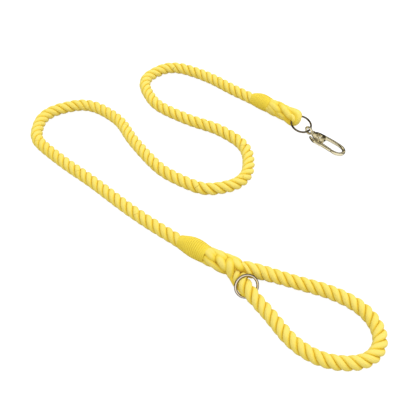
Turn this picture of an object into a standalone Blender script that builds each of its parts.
"""Training leash: a laid rope with a spliced hand loop, a ring on the loop, a spliced clip
end with a round ring, and a swivel snap hook with a sprung gate.

The leash lies on the plane z = 0.  The origin is on the ground under the first rope length,
close to its middle.  The centre line is a chain of tangent lines and arcs, one rope length
per body, with a ball-and-cup break on every bend axis.  Sizes are in millimetres and angles
in degrees; the meshes are in metres.
"""

import math

import bpy
import bmesh
from mathutils import Matrix, Vector

MM = 0.001
UP = Vector((0, 0, 1))

# ---------------------------------------------------------------- rope and its joints
SIDES = 12                    # sides of the rope section, one of them flat on the ground
ROPE_R = 6.5                  # corner radius of the rope section
APOTHEM = math.cos(math.pi / SIDES)     # flat radius of a section over its corner radius
ROPE_Z = ROPE_R * APOTHEM     # height of the centre line of a rope on the ground
MAX_TURN = 12.0               # largest turn between two stations

CUP_R = 7.05                  # socket radius that holds a rope end of radius ROPE_R
CUP_ANGLES = (12.0, 25.0, 38.0)         # socket rings, from its axis; the last is the rim
LIP_OUT = 3.9                 # where the outside of a socket starts, along the rope
BALL_ANGLES = (0.0, 25.0, 50.0, 72.0)   # rings of a rope's ball end, from its equator
END_CLEARANCE = 1.0           # no plain section this close to a lip or a ball
JOINT_STRAIGHT = 7.0          # straight length each side of a bend axis

# ---------------------------------------------------------------- main run
RUN_START = (33.8, -26.6)     # the first bend axis
RUN_HEADING = 143.0
RUN_STEP = 9.0
RUN = [                       # length, first turn, second turn of each rope length
    (94.0, -3.0, -4.0),
    (90.0, 5.0, -6.0),
    (52.0, -4.0, -42.0),
    (52.0, -39.0, -29.0),
    (56.0, -40.0, -22.0),
    (70.0, -24.0, 8.0),
    (70.0, 5.0, 21.0),
    (50.0, 6.0, 40.0),
    (50.0, 35.0, 36.0),
    (52.0, 26.0, 26.0),
    (68.0, 19.0, -9.0),
    (55.0, -7.0, -26.0),
    (51.0, -20.0, -53.0),
    (54.0, -46.0, -25.0),
    (83.0, -13.0, 6.0),
]

# ---------------------------------------------------------------- whippings
WHIP_WALL = 1.1               # thickness of the twine layer
WHIP_GAP = 0.3                # between the twine and the splice under it
GROOVE_OUTER = 0.7            # the splice steps down between these two distances
GROOVE_INNER = 0.35           # outside each end of the whipping
GROOVE_EDGE = 0.4             # a station nearer than this to the whipping is stepped down
MIN_SPACING = 0.25            # stations closer than this are merged

# ---------------------------------------------------------------- handle splice
# measured from the first bend axis towards the hand loop
SPLICE_HEADING = -37.0
SPLICE_LEAD = 8.5             # straight part before the curve
SPLICE_TURN = 6.4
SPLICE_STEP = 3.2
SPLICE_PROFILE = [            # distance, outer radius
    (0.0, ROPE_R), (8.5, 6.6), (11.5, 7.3), (16.0, 8.4), (20.5, 9.5), (25.0, 10.1),
    (29.5, 10.3), (34.0, 10.1), (38.5, 9.5), (42.5, 9.1), (46.0, 9.5), (52.0, 10.0),
    (60.0, 10.3), (68.0, 10.6), (75.0, 10.8),
]
SPLICE_LENGTH, CROTCH_R = SPLICE_PROFILE[-1]
HANDLE_WHIP = (8.6, 42.4)     # start, end
SPLICE_BALL = (-72.0, -50.0, -25.0)     # rings of the ball at the first bend axis
CROTCH_BALL = (22.0, 44.0, 66.0)        # rings of the ball at the crotch

# ---------------------------------------------------------------- hand loop
# measured from the crotch round and back to it
LOOP_HEADING = 4.0
LOOP_TURNS = [-26.0, 4.0, -20.5, -46.0, -84.5, -38.0, -32.5, 3.0, -9.0]
LOOP_LENGTH = 345.0
LOOP_ARC = LOOP_LENGTH / len(LOOP_TURNS)
LOOP_STEP = 8.0
LOOP_DESCENT = 34.0           # length over which the first leg comes down to the ground
RETURN_LEVEL = 12.0           # last part of the return leg, level with the crotch
RETURN_ASCENT = 42.0          # length over which the return leg climbs before that
RETURN_RINGS = 6              # sections in the separate solid of the return leg
PINCH_FROM_END = 21.0         # where the ring squeezes the return leg
PINCH_REACH = 15.0
PINCH_DEPTH = 0.8
CROTCH_CUP_R = 11.5
CROTCH_CUP_ANGLES = (-66.0, -44.0, -22.0, 0.0, 22.0, 44.0, 66.0)

# ---------------------------------------------------------------- ring on the hand loop
HANDLE_RING_CENTRE = (105.1, -88.7, 9.6)
HANDLE_RING_NORMAL = (0.218, -0.782, 0.584)
HANDLE_RING_MAJOR = 10.85
RING_WIRE = 1.15              # wire radius of both round rings

# ---------------------------------------------------------------- clip splice
# measured from the last bend axis towards the clip ring
CLIP_LEAD = JOINT_STRAIGHT
CLIP_TO_EYE = 68.4            # along the rope, to the middle of the eye
CLIP_TURN = -9.8
CLIP_STEP = 3.07
CLIP_PROFILE = [              # distance, outer radius
    (0.0, ROPE_R), (6.5, 6.6), (9.5, 7.4), (13.0, 8.4), (18.0, 9.3), (23.0, 9.5),
    (28.0, 9.2), (32.5, 8.7), (36.0, 9.0), (42.0, 9.7), (50.0, 9.5), (57.0, 8.9),
    (61.0, 7.6), (62.6, 6.2),
]
CLIP_FIRST = 5.5              # plain sections lie between these two distances
CLIP_LAST = CLIP_PROFILE[-1][0] + 0.3
CLIP_RISE = (36.0, 60.0)      # where the splice climbs from the ground to the eye
CLIP_WHIP = (6.6, 33.0)       # start, end; its solid starts at the first station after 6.6

# rope eye at the end of the clip splice; its bore lies level, across the rope
EYE_Z = 11.0
EYE_BELOW = 0.6               # the splice meets the eye this far under its middle
EYE_MAJOR = 5.6               # from the bore's axis to the middle of the rope wall
EYE_THICK = 3.5               # half thickness of the wall, outwards
EYE_WIDE = 6.3                # half width of the wall, along the bore
EYE_BORE_R = 2.0
EYE_BORE_HALF = EYE_WIDE * 1.5

# ---------------------------------------------------------------- clip ring
# its wire's centre line runs from the rope eye down to the swivel eye
CLIP_RING_HEADING = -44.0
CLIP_RING_MAJOR = 11.87
CLIP_RING_DROP = 5.9

# ---------------------------------------------------------------- snap hook
# its own frame has x along the hook to its nose, y across, z through its thickness
HOOK_HEADING = -45.0
HOOK_PITCH = 3.4              # nose down
HOOK_RISE = 0.4               # the hook's axis above the middle of the ring wire
HOOK_HALF = 2.3               # half thickness
HOOK_JOINT_X = 10.5           # origin of the hook body on the swivel axis
HOOK_EDGE_R = 0.75
THROUGH_HALF = 6.0            # half depth of the cutters that go right through

SWIVEL_EYE_X = 0.3
SWIVEL_EYE_MAJOR = 4.2
SWIVEL_EYE_WIRE = 1.3
STEM_PROFILE = [              # x, radius: stem with a collar and a head
    (4.0, 1.5), (5.4, 1.6), (5.6, 2.7), (6.0, 3.0), (7.1, 3.0), (7.5, 2.7), (7.6, 1.5),
    (13.2, 1.5), (13.25, 2.1), (13.6, 2.35), (14.6, 2.35), (15.2, 1.8), (15.4, 1.0),
]
STEM_BORE = [(6.0, 1.85), (14.0, 1.85)]     # x, radius

HOOK_OUTLINE = [              # x, y
    # the +y side of the head, round the nose to the hook's tip
    (7.9, 3.3), (8.6, 4.2), (10.5, 5.2), (14, 6.5), (20, 7.4), (27, 8.6), (34, 9.4),
    (40, 9.8), (44, 9.5), (47.5, 8.2), (50, 6.0), (51.6, 3.2), (52.1, 0.0), (51.6, -3.4),
    (50, -6.3), (47.5, -8.7), (44.5, -10.1), (41.5, -10.6), (39.0, -10.6),
    # inside the opening, from the tip back to the head
    (39.0, -6.2), (42.0, -5.9), (44.8, -4.8), (46.8, -3.1), (47.5, -1.5), (47.5, 1.5),
    (46.8, 3.3), (44.8, 4.8), (41.0, 5.3), (34.0, 4.7), (27.0, 3.6), (23.6, 2.9),
    (22.9, 2.0), (22.9, -2.0),
    # the -y side of the head
    (22.9, -7.9), (20.0, -7.6), (14.0, -6.5), (10.5, -5.2), (8.6, -4.2), (7.9, -3.3),
]
SLOT_OUTLINE = [(13.4, -14.0), (30.0, -14.0), (30.0, -1.2), (23.4, -1.2), (19.2, -3.4),
                (13.4, -3.4)]
SLOT_HALF = 1.5
WINDOW_OUTLINE = [(12.7, -2.7), (18.6, -2.7), (18.6, 2.7), (12.7, 2.7)]

# gate: a web in the slot joins a wide lever on the swivel side to a wide blade over the opening
PIVOT_X, PIVOT_Y = 18.6, -5.3
PIN_R = 0.9
PIN_PROUD = 0.25              # how far the pin stands out of each face of the hook
PIN_BORE_R = 1.25             # in the hook
GATE_BORE_R = 1.0
WEB_HALF = 1.15
GATE_HALF = 2.1               # half thickness of the lever and the blade
WEB_ROOT_R = 1.55             # rounded end of the web round the pivot
WEB_ROOT_ANGLES = (60, 85, 110, 135, 160, 185)
WEB_BLADE_SIDE = [(14.6, -9.0), (18.0, -10.6), (25.0, -10.2), (25.0, -6.4), (24.6, -5.2),
                  (23.6, -4.4), (21.0, -3.95)]
WEB_LEVER_SIDE = [(16.6, -7.6), (14.8, -8.2)]
LEVER_OUTLINE = [(16.6, -7.7), (12.0, -7.3), (9.3, -6.7), (7.6, -7.0), (7.4, -8.0),
                 (9.5, -9.5), (12.6, -10.6), (16.6, -11.2)]
BLADE_OUTLINE = [(23.9, -10.9), (28.0, -10.6), (34.0, -10.5), (38.0, -10.5), (38.6, -6.3),
                 (34.0, -6.3), (28.0, -5.8), (24.2, -5.35), (23.9, -5.8)]
SPRING_OUTLINE = [(13.8, -3.75), (16.0, -3.75), (16.55, -4.35), (16.55, -4.95),
                  (16.3, -4.95), (16.2, -4.45), (15.85, -4.1), (13.8, -4.1)]
SPRING_HALF = 0.8


# ---------------------------------------------------------------- scene and materials
def clear_scene():
    for obj in list(bpy.data.objects):
        bpy.data.objects.remove(obj, do_unlink=True)
    for mesh in list(bpy.data.meshes):
        bpy.data.meshes.remove(mesh)


def material(name, colour, roughness, metallic=0.0):
    mat = bpy.data.materials.new(name)
    mat.use_nodes = True
    shader = mat.node_tree.nodes["Principled BSDF"]
    shader.inputs["Base Color"].default_value = (*colour, 1.0)
    shader.inputs["Roughness"].default_value = roughness
    shader.inputs["Metallic"].default_value = metallic
    mat.diffuse_color = (*colour, 1.0)
    return mat


clear_scene()
COTTON = material("rope", colour=(0.88, 0.62, 0.10), roughness=0.85)
TWINE = material("twine", colour=(0.74, 0.52, 0.06), roughness=0.75)
GOLD = material("gold_plate", colour=(0.83, 0.72, 0.47), roughness=0.18, metallic=1.0)
STEEL = material("spring_steel", colour=(0.56, 0.55, 0.52), roughness=0.3, metallic=1.0)


# ---------------------------------------------------------------- centre lines and sections
def interp(table, x):
    if x <= table[0][0]:
        return table[0][1]
    for (x0, y0), (x1, y1) in zip(table, table[1:]):
        if x <= x1:
            return y0 + (y1 - y0) * (x - x0) / (x1 - x0)
    return table[-1][1]


def ease(t):
    """Smooth step from 0 to 1, held outside that range."""
    t = min(max(t, 0.0), 1.0)
    return t * t * (3 - 2 * t)


def walk(x, y, heading, segments, step):
    """Stations (distance, x, y, heading in radians) along segments of (length, turn)."""
    dist, heading = 0.0, math.radians(heading)
    stations = [(dist, x, y, heading)]
    for length, turn in segments:
        count = max(1, int(math.ceil(max(length / step, abs(turn) / MAX_TURN))))
        arc, bend = length / count, math.radians(turn) / count
        half = bend / 2.0
        chord = arc * (math.sin(half) / half if abs(half) > 1e-9 else 1.0)
        for _ in range(count):
            x += chord * math.cos(heading + half)
            y += chord * math.sin(heading + half)
            heading += bend
            dist += arc
            stations.append((dist, x, y, heading))
    return stations


def with_extra(stations, distances):
    """The stations with more put in at the given distances, where those are in range."""
    merged = list(stations)
    for dist in distances:
        for a, b in zip(stations, stations[1:]):
            if a[0] <= dist <= b[0]:
                t = (dist - a[0]) / (b[0] - a[0])
                merged.append((dist, *(p + (q - p) * t for p, q in zip(a[1:], b[1:]))))
                break
    merged.sort(key=lambda station: station[0])
    spaced = [merged[0]]
    for station in merged[1:]:
        if station[0] - spaced[-1][0] > MIN_SPACING:
            spaced.append(station)
    return spaced


def section(x, y, z, heading, radius, ahead=0.0):
    """Points of one rope section, ahead of (x, y, z) along the heading."""
    c, s = math.cos(heading), math.sin(heading)
    points = []
    for k in range(SIDES):
        angle = -math.pi / 2 + math.pi / SIDES * (1 + 2 * k)
        across, up = radius * math.cos(angle), radius * math.sin(angle)
        points.append(Vector((x + ahead * c - across * s, y + ahead * s + across * c, z + up)))
    return points


def pole(x, y, z, heading, ahead):
    return Vector((x + ahead * math.cos(heading), y + ahead * math.sin(heading), z))


def ball_sections(x, y, z, heading, radius, angles):
    """Sections of a ball, at angles from its equator; positive ones are ahead."""
    return [section(x, y, z, heading, radius * math.cos(a), radius * math.sin(a))
            for a in map(math.radians, angles)]


def socket_sections(x, y, z, heading):
    """A rope socket from the bottom of its cup out to its lip."""
    cup = [section(x, y, z, heading, CUP_R * math.sin(a), CUP_R * math.cos(a))
           for a in map(math.radians, CUP_ANGLES)]
    return cup + [section(x, y, z, heading, ROPE_R, LIP_OUT)]


# ---------------------------------------------------------------- meshes
def finish_mesh(bm, sharp_angle=40.0):
    bmesh.ops.recalc_face_normals(bm, faces=bm.faces)
    mesh = bpy.data.meshes.new("mesh")
    bm.to_mesh(mesh)
    bm.free()
    mesh.shade_smooth()
    mesh.set_sharp_from_angle(angle=math.radians(sharp_angle))
    return mesh


def add_rows(bm, rings):
    return [[bm.verts.new(point * MM) for point in ring] for ring in rings]


def bridge(bm, a, b):
    """A closed band of quads between two rows of vertices."""
    n = len(a)
    for i in range(n):
        bm.faces.new((a[i], a[(i + 1) % n], b[(i + 1) % n], b[i]))


def loft(rings, start=None, end=None):
    """Closed skin over rings; start and end are pole points, or None for a flat end."""
    bm = bmesh.new()
    rows = add_rows(bm, rings)
    for a, b in zip(rows, rows[1:]):
        bridge(bm, a, b)
    for row, point in ((rows[0], start), (rows[-1], end)):
        if point is None:
            bm.faces.new(row)
        else:
            tip = bm.verts.new(point * MM)
            for i in range(len(row)):
                bm.faces.new((row[i], row[(i + 1) % len(row)], tip))
    return finish_mesh(bm)


def sleeve(outer, inner):
    """A closed tube with a bore: two lists of rings that start and end together."""
    bm = bmesh.new()
    outside, inside = add_rows(bm, outer), add_rows(bm, inner)
    for rows in (outside, inside):
        for a, b in zip(rows, rows[1:]):
            bridge(bm, a, b)
    for end in (0, -1):
        bridge(bm, outside[end], inside[end])
    return finish_mesh(bm)


def torus(centre, x_dir, y_dir, z_dir, major, half_r, half_z, around, sides):
    """Ring about z_dir: the section is half_r across and half_z along z_dir."""
    rings = []
    for i in range(around):
        a = 2 * math.pi * i / around
        out = x_dir * math.cos(a) + y_dir * math.sin(a)
        ring = []
        for j in range(sides):
            b = 2 * math.pi * (j + 0.5) / sides
            ring.append(centre + out * (major + half_r * math.cos(b))
                        + z_dir * half_z * math.sin(b))
        rings.append(ring)
    bm = bmesh.new()
    rows = add_rows(bm, rings)
    for i in range(around):
        bridge(bm, rows[i], rows[(i + 1) % around])
    return finish_mesh(bm, 60.0)


def turned(profile, count=20):
    """Solid of revolution about the local x axis, with flat ends: profile is (x, radius)."""
    angles = [2 * math.pi * k / count for k in range(count)]
    return loft([[Vector((x, r * math.cos(a), r * math.sin(a))) for a in angles]
                 for x, r in profile])


def slab(outline, half):
    """Straight extrusion of a local xy outline, half the thickness each side of z = 0."""
    bm = bmesh.new()
    low, high = add_rows(bm, [[Vector((x, y, z)) for x, y in outline] for z in (-half, half)])
    bm.faces.new(list(reversed(low)))
    bm.faces.new(high)
    bridge(bm, low, high)
    return finish_mesh(bm, 35.0)


def pivot_disc(radius, half, count=16):
    """A disc about the gate's pivot."""
    angles = [2 * math.pi * k / count for k in range(count)]
    return slab([(PIVOT_X + radius * math.cos(a), PIVOT_Y + radius * math.sin(a))
                 for a in angles], half)


# ---------------------------------------------------------------- bodies and objects
BODIES = {}        # body name -> (empty, world position of its joint in metres)


def body(name, parent, position):
    """An empty on the body's joint axis; the body's solids are parented to it."""
    empty = bpy.data.objects.new("axis_" + name, None)
    bpy.context.scene.collection.objects.link(empty)
    location = Vector(position) * MM
    if parent is None:
        empty.location = location
    else:
        parent_empty, parent_location = BODIES[parent]
        empty.parent = parent_empty
        empty.location = location - parent_location
    BODIES[name] = (empty, location)


def place(name, mesh, body_name, frame):
    """Object on a body; the mesh is in world metres, or in the given frame."""
    empty, location = BODIES[body_name]
    if frame is not None:
        mesh.transform(frame)
    mesh.transform(Matrix.Translation(-location))
    mesh.name = name
    obj = bpy.data.objects.new(name, mesh)
    bpy.context.scene.collection.objects.link(obj)
    obj.parent = empty
    return obj


def add(name, mesh, mat, body_name, frame=None):
    mesh.materials.append(mat)
    return place(name, mesh, body_name, frame)


def combine(target, operation, name, mesh, body_name, frame=None):
    """Boolean on the target with a hidden helper object."""
    helper = place(name, mesh, body_name, frame)
    helper.hide_render = True
    helper.display_type = "WIRE"
    mod = target.modifiers.new(operation.lower(), "BOOLEAN")
    mod.operation = operation
    mod.solver = "EXACT"
    mod.object = helper


# ---------------------------------------------------------------- splices
def handle_z(dist):
    return interp(SPLICE_PROFILE, dist) * APOTHEM


def clip_z(dist):
    """The clip splice rests on the ground, then climbs to its eye."""
    z = interp(CLIP_PROFILE, dist) * APOTHEM
    rise = ease((dist - CLIP_RISE[0]) / (CLIP_RISE[1] - CLIP_RISE[0]))
    return z + (EYE_Z - EYE_BELOW - z) * rise


def splice_sections(stations, profile, height, inset):
    """Sections of a tapered splice; inset(distance) is taken off the radius."""
    return [section(x, y, height(dist), heading, interp(profile, dist) - inset(dist))
            for dist, x, y, heading in stations]


def splice_and_whipping(stations, profile, height, whip, lead, tail, start, end):
    """The splice, grooved for its whipping, and the whipping's sleeve."""
    first, last = whip

    def groove(dist):
        grooved = first - GROOVE_EDGE < dist < last + GROOVE_EDGE
        return WHIP_WALL + WHIP_GAP if grooved else 0.0

    stepped = with_extra(stations, (first - GROOVE_OUTER, first - GROOVE_INNER,
                                    last + GROOVE_INNER, last + GROOVE_OUTER))
    splice = loft(lead + splice_sections(stepped, profile, height, groove) + tail, start, end)
    wrapped = [station for station in with_extra(stations, whip)
               if first - 1e-6 <= station[0] <= last + 1e-6]
    outer = splice_sections(wrapped, profile, height, lambda dist: 0.0)
    inner = splice_sections(wrapped, profile, height, lambda dist: WHIP_WALL)
    return splice, sleeve(outer, inner)


# ---------------------------------------------------------------- handle
def build_handle():
    """Root body: the handle splice and its whipping. Returns the crotch and its heading."""
    start = (*RUN_START, ROPE_Z, math.radians(SPLICE_HEADING))
    body("handle", None, start[:3])
    stations = walk(*RUN_START, SPLICE_HEADING,
                    [(SPLICE_LEAD, 0.0), (SPLICE_LENGTH - SPLICE_LEAD, SPLICE_TURN)],
                    SPLICE_STEP)
    _, x, y, heading = stations[-1]
    crotch = Vector((x, y, CROTCH_R * APOTHEM))
    end = (x, y, crotch.z, heading)
    splice, whipping = splice_and_whipping(
        stations, SPLICE_PROFILE, handle_z, HANDLE_WHIP,
        lead=ball_sections(*start, ROPE_R, SPLICE_BALL),
        tail=ball_sections(*end, CROTCH_R, CROTCH_BALL),
        start=pole(*start, -ROPE_R), end=pole(*end, CROTCH_R))
    add("handle_splice", splice, COTTON, "handle")
    add("handle_whipping", whipping, TWINE, "handle")
    return crotch, heading


def build_hand_loop(crotch, crotch_heading):
    """The rope from the crotch round and back, with a socket for the splice's round end."""
    body("hand_loop", "handle", crotch)
    stations = walk(crotch.x, crotch.y, LOOP_HEADING,
                    [(LOOP_ARC, turn) for turn in LOOP_TURNS], LOOP_STEP)
    total = stations[-1][0]

    def height(dist):
        """Both legs are at the crotch's height there and come down to the ground."""
        leaving = 1.0 - ease(dist / LOOP_DESCENT)
        returning = 1.0 - ease((total - dist - RETURN_LEVEL) / RETURN_ASCENT)
        return ROPE_Z + (crotch.z - ROPE_Z) * max(leaving, returning)

    def radius(dist):
        """The ring squeezes the soft rope where it goes through."""
        off = abs(total - dist - PINCH_FROM_END) / PINCH_REACH
        return ROPE_R - (PINCH_DEPTH * (1 - off * off) ** 2 if off < 1 else 0.0)

    rings = [section(x, y, height(dist), heading, radius(dist))
             for dist, x, y, heading in stations]
    # the two ends cross at the crotch, so the return leg's end is a second solid, then
    # joined; the two solids share one span
    loop = add("hand_loop", loft(rings[:1 - RETURN_RINGS]), COTTON, "hand_loop")
    combine(loop, "UNION", "cut_return_leg", loft(rings[-RETURN_RINGS:]), "hand_loop")
    spot = (*crotch, crotch_heading)
    ball = loft(ball_sections(*spot, CROTCH_CUP_R, CROTCH_CUP_ANGLES),
                pole(*spot, -CROTCH_CUP_R), pole(*spot, CROTCH_CUP_R))
    combine(loop, "DIFFERENCE", "cut_crotch_socket", ball, "hand_loop")


def build_handle_ring():
    """Round ring on the return leg of the hand loop."""
    normal = Vector(HANDLE_RING_NORMAL).normalized()
    level = UP.cross(normal).normalized()
    body("handle_ring", "hand_loop", HANDLE_RING_CENTRE)
    ring = torus(Vector(HANDLE_RING_CENTRE), level, normal.cross(level), normal,
                 HANDLE_RING_MAJOR, RING_WIRE, RING_WIRE, around=32, sides=8)
    add("handle_ring", ring, GOLD, "handle_ring")


# ---------------------------------------------------------------- main run
def rope_length(stations):
    """One rope length: a socket at its first station, a ball at its last."""
    _, x, y, heading = stations[0]
    start = (x, y, ROPE_Z, heading)
    total, x, y, heading = stations[-1]
    end = (x, y, ROPE_Z, heading)
    rings = socket_sections(*start)
    for dist, x, y, heading in stations:
        if LIP_OUT + END_CLEARANCE < dist < total - END_CLEARANCE:
            rings.append(section(x, y, ROPE_Z, heading, ROPE_R))
    rings += ball_sections(*end, ROPE_R, BALL_ANGLES)
    return loft(rings, pole(*start, CUP_R), pole(*end, ROPE_R))


def build_run():
    """The rope lengths. Returns the last bend axis, the heading there and the last body."""
    x, y = RUN_START
    heading = RUN_HEADING
    parent = "handle"
    for i, (length, turn_1, turn_2) in enumerate(RUN):
        name = "rope_%02d" % (i + 1)
        arc = (length - 2 * JOINT_STRAIGHT) / 2
        stations = walk(x, y, heading, [(JOINT_STRAIGHT, 0.0), (arc, turn_1), (arc, turn_2),
                                        (JOINT_STRAIGHT, 0.0)], RUN_STEP)
        body(name, parent, (x, y, ROPE_Z))
        add(name, rope_length(stations), COTTON, name)
        _, x, y, end_heading = stations[-1]
        heading = math.degrees(end_heading)
        parent = name
    return x, y, heading, parent


# ---------------------------------------------------------------- clip end
def build_clip_end(x, y, heading, parent):
    """Splice, whipping and rope eye. Returns the middle of the eye."""
    body("clip_end", parent, (x, y, ROPE_Z))
    to_eye = walk(x, y, heading,
                  [(CLIP_LEAD, 0.0), (CLIP_TO_EYE - CLIP_LEAD, CLIP_TURN)], CLIP_STEP)
    start = (x, y, ROPE_Z, math.radians(heading))
    splice_mesh, whipping = splice_and_whipping(
        [station for station in to_eye if CLIP_FIRST < station[0] <= CLIP_LAST],
        CLIP_PROFILE, clip_z, CLIP_WHIP,
        lead=socket_sections(*start), tail=[], start=pole(*start, CUP_R), end=None)
    splice = add("clip_splice", splice_mesh, COTTON, "clip_end")
    add("clip_whipping", whipping, TWINE, "clip_end")

    _, eye_x, eye_y, _ = to_eye[-1]
    centre = Vector((eye_x, eye_y, EYE_Z))
    # through degrees and back, like the headings of the run
    turn = math.radians(math.degrees(to_eye[-1][3]))
    along = Vector((math.cos(turn), math.sin(turn), 0))
    across = Vector((-math.sin(turn), math.cos(turn), 0))
    wall = torus(centre, along, UP, across, EYE_MAJOR, EYE_THICK, EYE_WIDE,
                 around=20, sides=12)
    combine(splice, "UNION", "cut_eye_wall", wall, "clip_end")
    bore = turned([(-EYE_BORE_HALF, EYE_BORE_R), (EYE_BORE_HALF, EYE_BORE_R)], 16)
    bore_frame = Matrix.Translation(centre * MM) @ Matrix.Rotation(turn + math.pi / 2, 4, "Z")
    combine(splice, "DIFFERENCE", "cut_eye_bore", bore, "clip_end", bore_frame)
    return centre


def build_clip_ring(top):
    """Round ring from the rope eye to the swivel eye. Returns its low point."""
    heading = math.radians(CLIP_RING_HEADING)
    flat = math.sqrt((2 * CLIP_RING_MAJOR) ** 2 - CLIP_RING_DROP ** 2)
    low = top + Vector((flat * math.cos(heading), flat * math.sin(heading), -CLIP_RING_DROP))
    along = (low - top).normalized()
    across = UP.cross(along).normalized()
    body("clip_ring", "clip_end", top)
    ring = torus((top + low) / 2, along, across, along.cross(across),
                 CLIP_RING_MAJOR, RING_WIRE, RING_WIRE, around=36, sides=8)
    add("clip_ring", ring, GOLD, "clip_ring")
    return low


# ---------------------------------------------------------------- snap hook
def hook_frame(ring_low):
    return (Matrix.Translation((ring_low + Vector((0, 0, HOOK_RISE))) * MM)
            @ Matrix.Rotation(math.radians(HOOK_HEADING), 4, "Z")
            @ Matrix.Rotation(math.radians(HOOK_PITCH), 4, "Y"))


def hook_point(frame, x, y):
    """World position in millimetres of a point on the hook's middle plane."""
    return frame @ Vector((x * MM, y * MM, 0)) / MM


def build_swivel(ring_low, frame):
    """Wire eye with a turned stem that runs into the hook's head."""
    body("swivel", "clip_ring", ring_low)
    eye = torus(Vector((SWIVEL_EYE_X, 0, 0)), Vector((1, 0, 0)), UP, Vector((0, 1, 0)),
                SWIVEL_EYE_MAJOR, SWIVEL_EYE_WIRE, SWIVEL_EYE_WIRE, around=28, sides=10)
    swivel = add("swivel_eye", eye, GOLD, "swivel", frame)
    combine(swivel, "UNION", "cut_swivel_stem", turned(STEM_PROFILE), "swivel", frame)


def build_hook_body(frame):
    body("hook", "swivel", hook_point(frame, HOOK_JOINT_X, 0))
    hook = add("hook_body", slab(HOOK_OUTLINE, HOOK_HALF), GOLD, "hook", frame)
    for name, mesh in (
            ("cut_gate_slot", slab(SLOT_OUTLINE, SLOT_HALF)),
            ("cut_head_window", slab(WINDOW_OUTLINE, THROUGH_HALF)),
            ("cut_stem_bore", turned(STEM_BORE)),
            ("cut_pin_bore", pivot_disc(PIN_BORE_R, THROUGH_HALF))):
        combine(hook, "DIFFERENCE", name, mesh, "hook", frame)
    edge = hook.modifiers.new("rounded_edges", "BEVEL")
    edge.width = HOOK_EDGE_R * MM
    edge.segments = 2
    edge.limit_method = "ANGLE"
    edge.angle_limit = math.radians(50)


def build_gate_pin(frame):
    add("gate_pin", pivot_disc(PIN_R, HOOK_HALF + PIN_PROUD), GOLD, "hook", frame)


def build_gate(frame):
    body("gate", "hook", hook_point(frame, PIVOT_X, PIVOT_Y))
    root = [(PIVOT_X + WEB_ROOT_R * math.cos(a), PIVOT_Y + WEB_ROOT_R * math.sin(a))
            for a in map(math.radians, WEB_ROOT_ANGLES)]
    web = slab(WEB_BLADE_SIDE + root + WEB_LEVER_SIDE, WEB_HALF)
    gate = add("gate", web, GOLD, "gate", frame)
    for operation, name, mesh in (
            ("UNION", "cut_gate_lever", slab(LEVER_OUTLINE, GATE_HALF)),
            ("UNION", "cut_gate_blade", slab(BLADE_OUTLINE, GATE_HALF)),
            ("DIFFERENCE", "cut_gate_bore", pivot_disc(GATE_BORE_R, THROUGH_HALF))):
        combine(gate, operation, name, mesh, "gate", frame)


def build_gate_spring(frame):
    add("gate_spring", slab(SPRING_OUTLINE, SPRING_HALF), STEEL, "hook", frame)


def build_leash():
    build_hand_loop(*build_handle())
    build_handle_ring()
    eye_centre = build_clip_end(*build_run())
    ring_low = build_clip_ring(eye_centre)
    frame = hook_frame(ring_low)
    build_swivel(ring_low, frame)
    build_hook_body(frame)
    build_gate_pin(frame)
    build_gate(frame)
    build_gate_spring(frame)


build_leash()
